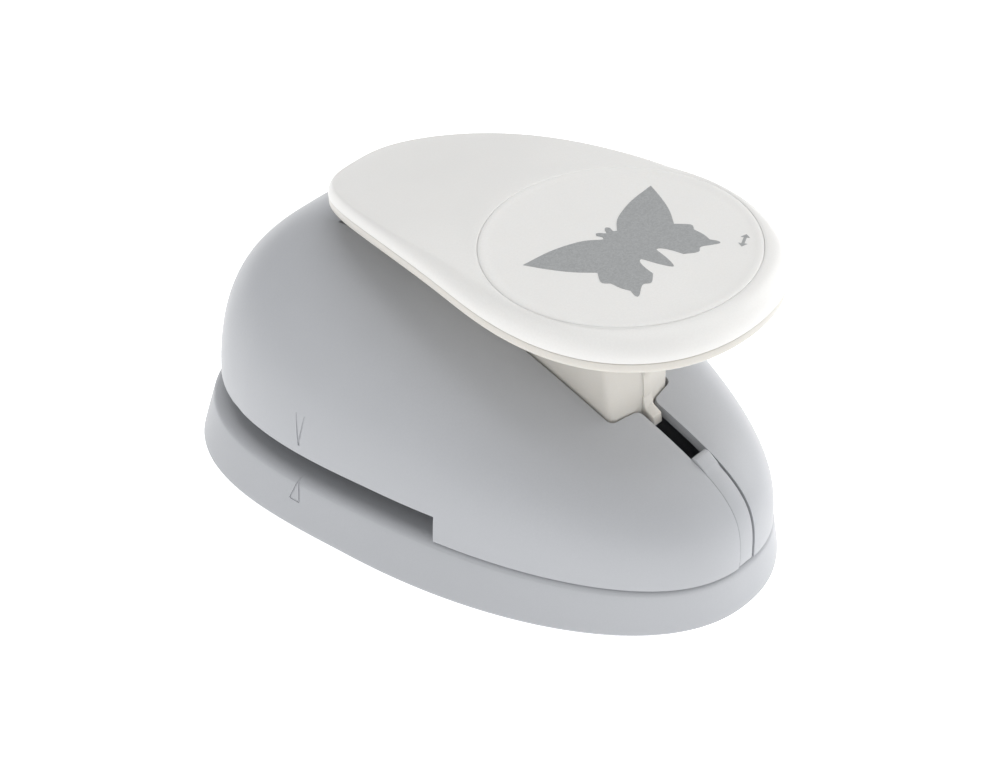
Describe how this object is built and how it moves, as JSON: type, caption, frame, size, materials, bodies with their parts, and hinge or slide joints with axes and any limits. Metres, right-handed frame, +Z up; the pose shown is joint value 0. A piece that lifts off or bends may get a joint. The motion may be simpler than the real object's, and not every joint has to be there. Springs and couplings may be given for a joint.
{
  "type": "craft punch",
  "caption": "Lever-operated craft punch with an egg-shaped base, a domed housing with a paper mouth round its back, and a long press lever with a round pad and butterfly motif.",
  "frame": {"origin": "on the table under the middle of the base", "axes": "+X to the side, +Y along the lever from the press pad and nose to the pivot end, +Z up"},
  "size_m": [0.0906, 0.1331, 0.0753],
  "materials": {
    "grey_plastic": "fine moulded texture, satin",
    "white_plastic": "satin moulded",
    "ivory_plastic": "satin moulded",
    "dark_plastic": "matte",
    "nylon": "satin",
    "foot_rubber": "matte",
    "die_steel": "ground",
    "fastener_steel": "zinc plated",
    "spring_steel": "drawn wire",
    "bush_brass": "turned",
    "silver_print": "fine metallic ink"
  },
  "bodies": {
    "base": {"base_tray": "grey_plastic", "bottom_cover": "dark_plastic", "rubber_feet": "foot_rubber", "bottom_screws": "fastener_steel", "housing_shell": "grey_plastic", "nose_clip": "grey_plastic", "housing_screws": "fastener_steel", "die_plate": "die_steel", "die_screws": "fastener_steel", "throat_spacer": "die_steel", "stripper_plate": "die_steel", "stripper_screws": "fastener_steel", "guide_posts": "fastener_steel", "pivot_bracket": "die_steel", "bracket_rivets": "fastener_steel", "pivot_pin": "fastener_steel", "pivot_spacers": "nylon", "pin_clips": "fastener_steel", "return_springs": "spring_steel"},
    "lever": {"lever_cover": "white_plastic", "lever_frame": "ivory_plastic", "cover_screws": "fastener_steel", "press_pin": "fastener_steel", "motif_disc": "white_plastic", "motif_print": "silver_print", "size_mark": "silver_print"},
    "punch": {"punch_cutter": "die_steel", "punch_holder": "die_steel", "holder_screws": "fastener_steel", "guide_bushes": "bush_brass", "wear_pad": "dark_plastic"}
  },
  "joints": [
    {"name": "lever_press", "type": "hinge", "parent": "base", "child": "lever", "pos_m": [0, 0.04935, 0.036], "axis": [1, 0, 0], "range_deg": [0, 14], "stiffness_Nm_per_rad": 3, "springref_deg": -5.73},
    {"name": "punch_slide", "type": "slide", "parent": "base", "child": "punch", "axis": [0, 0, -1], "range_m": [0, 0.0068], "deforming": ["return_springs"]}
  ],
  "couplings": [
    {"joint": "punch_slide", "follows": "lever_press", "m_per_rad": 0.0275}
  ]
}
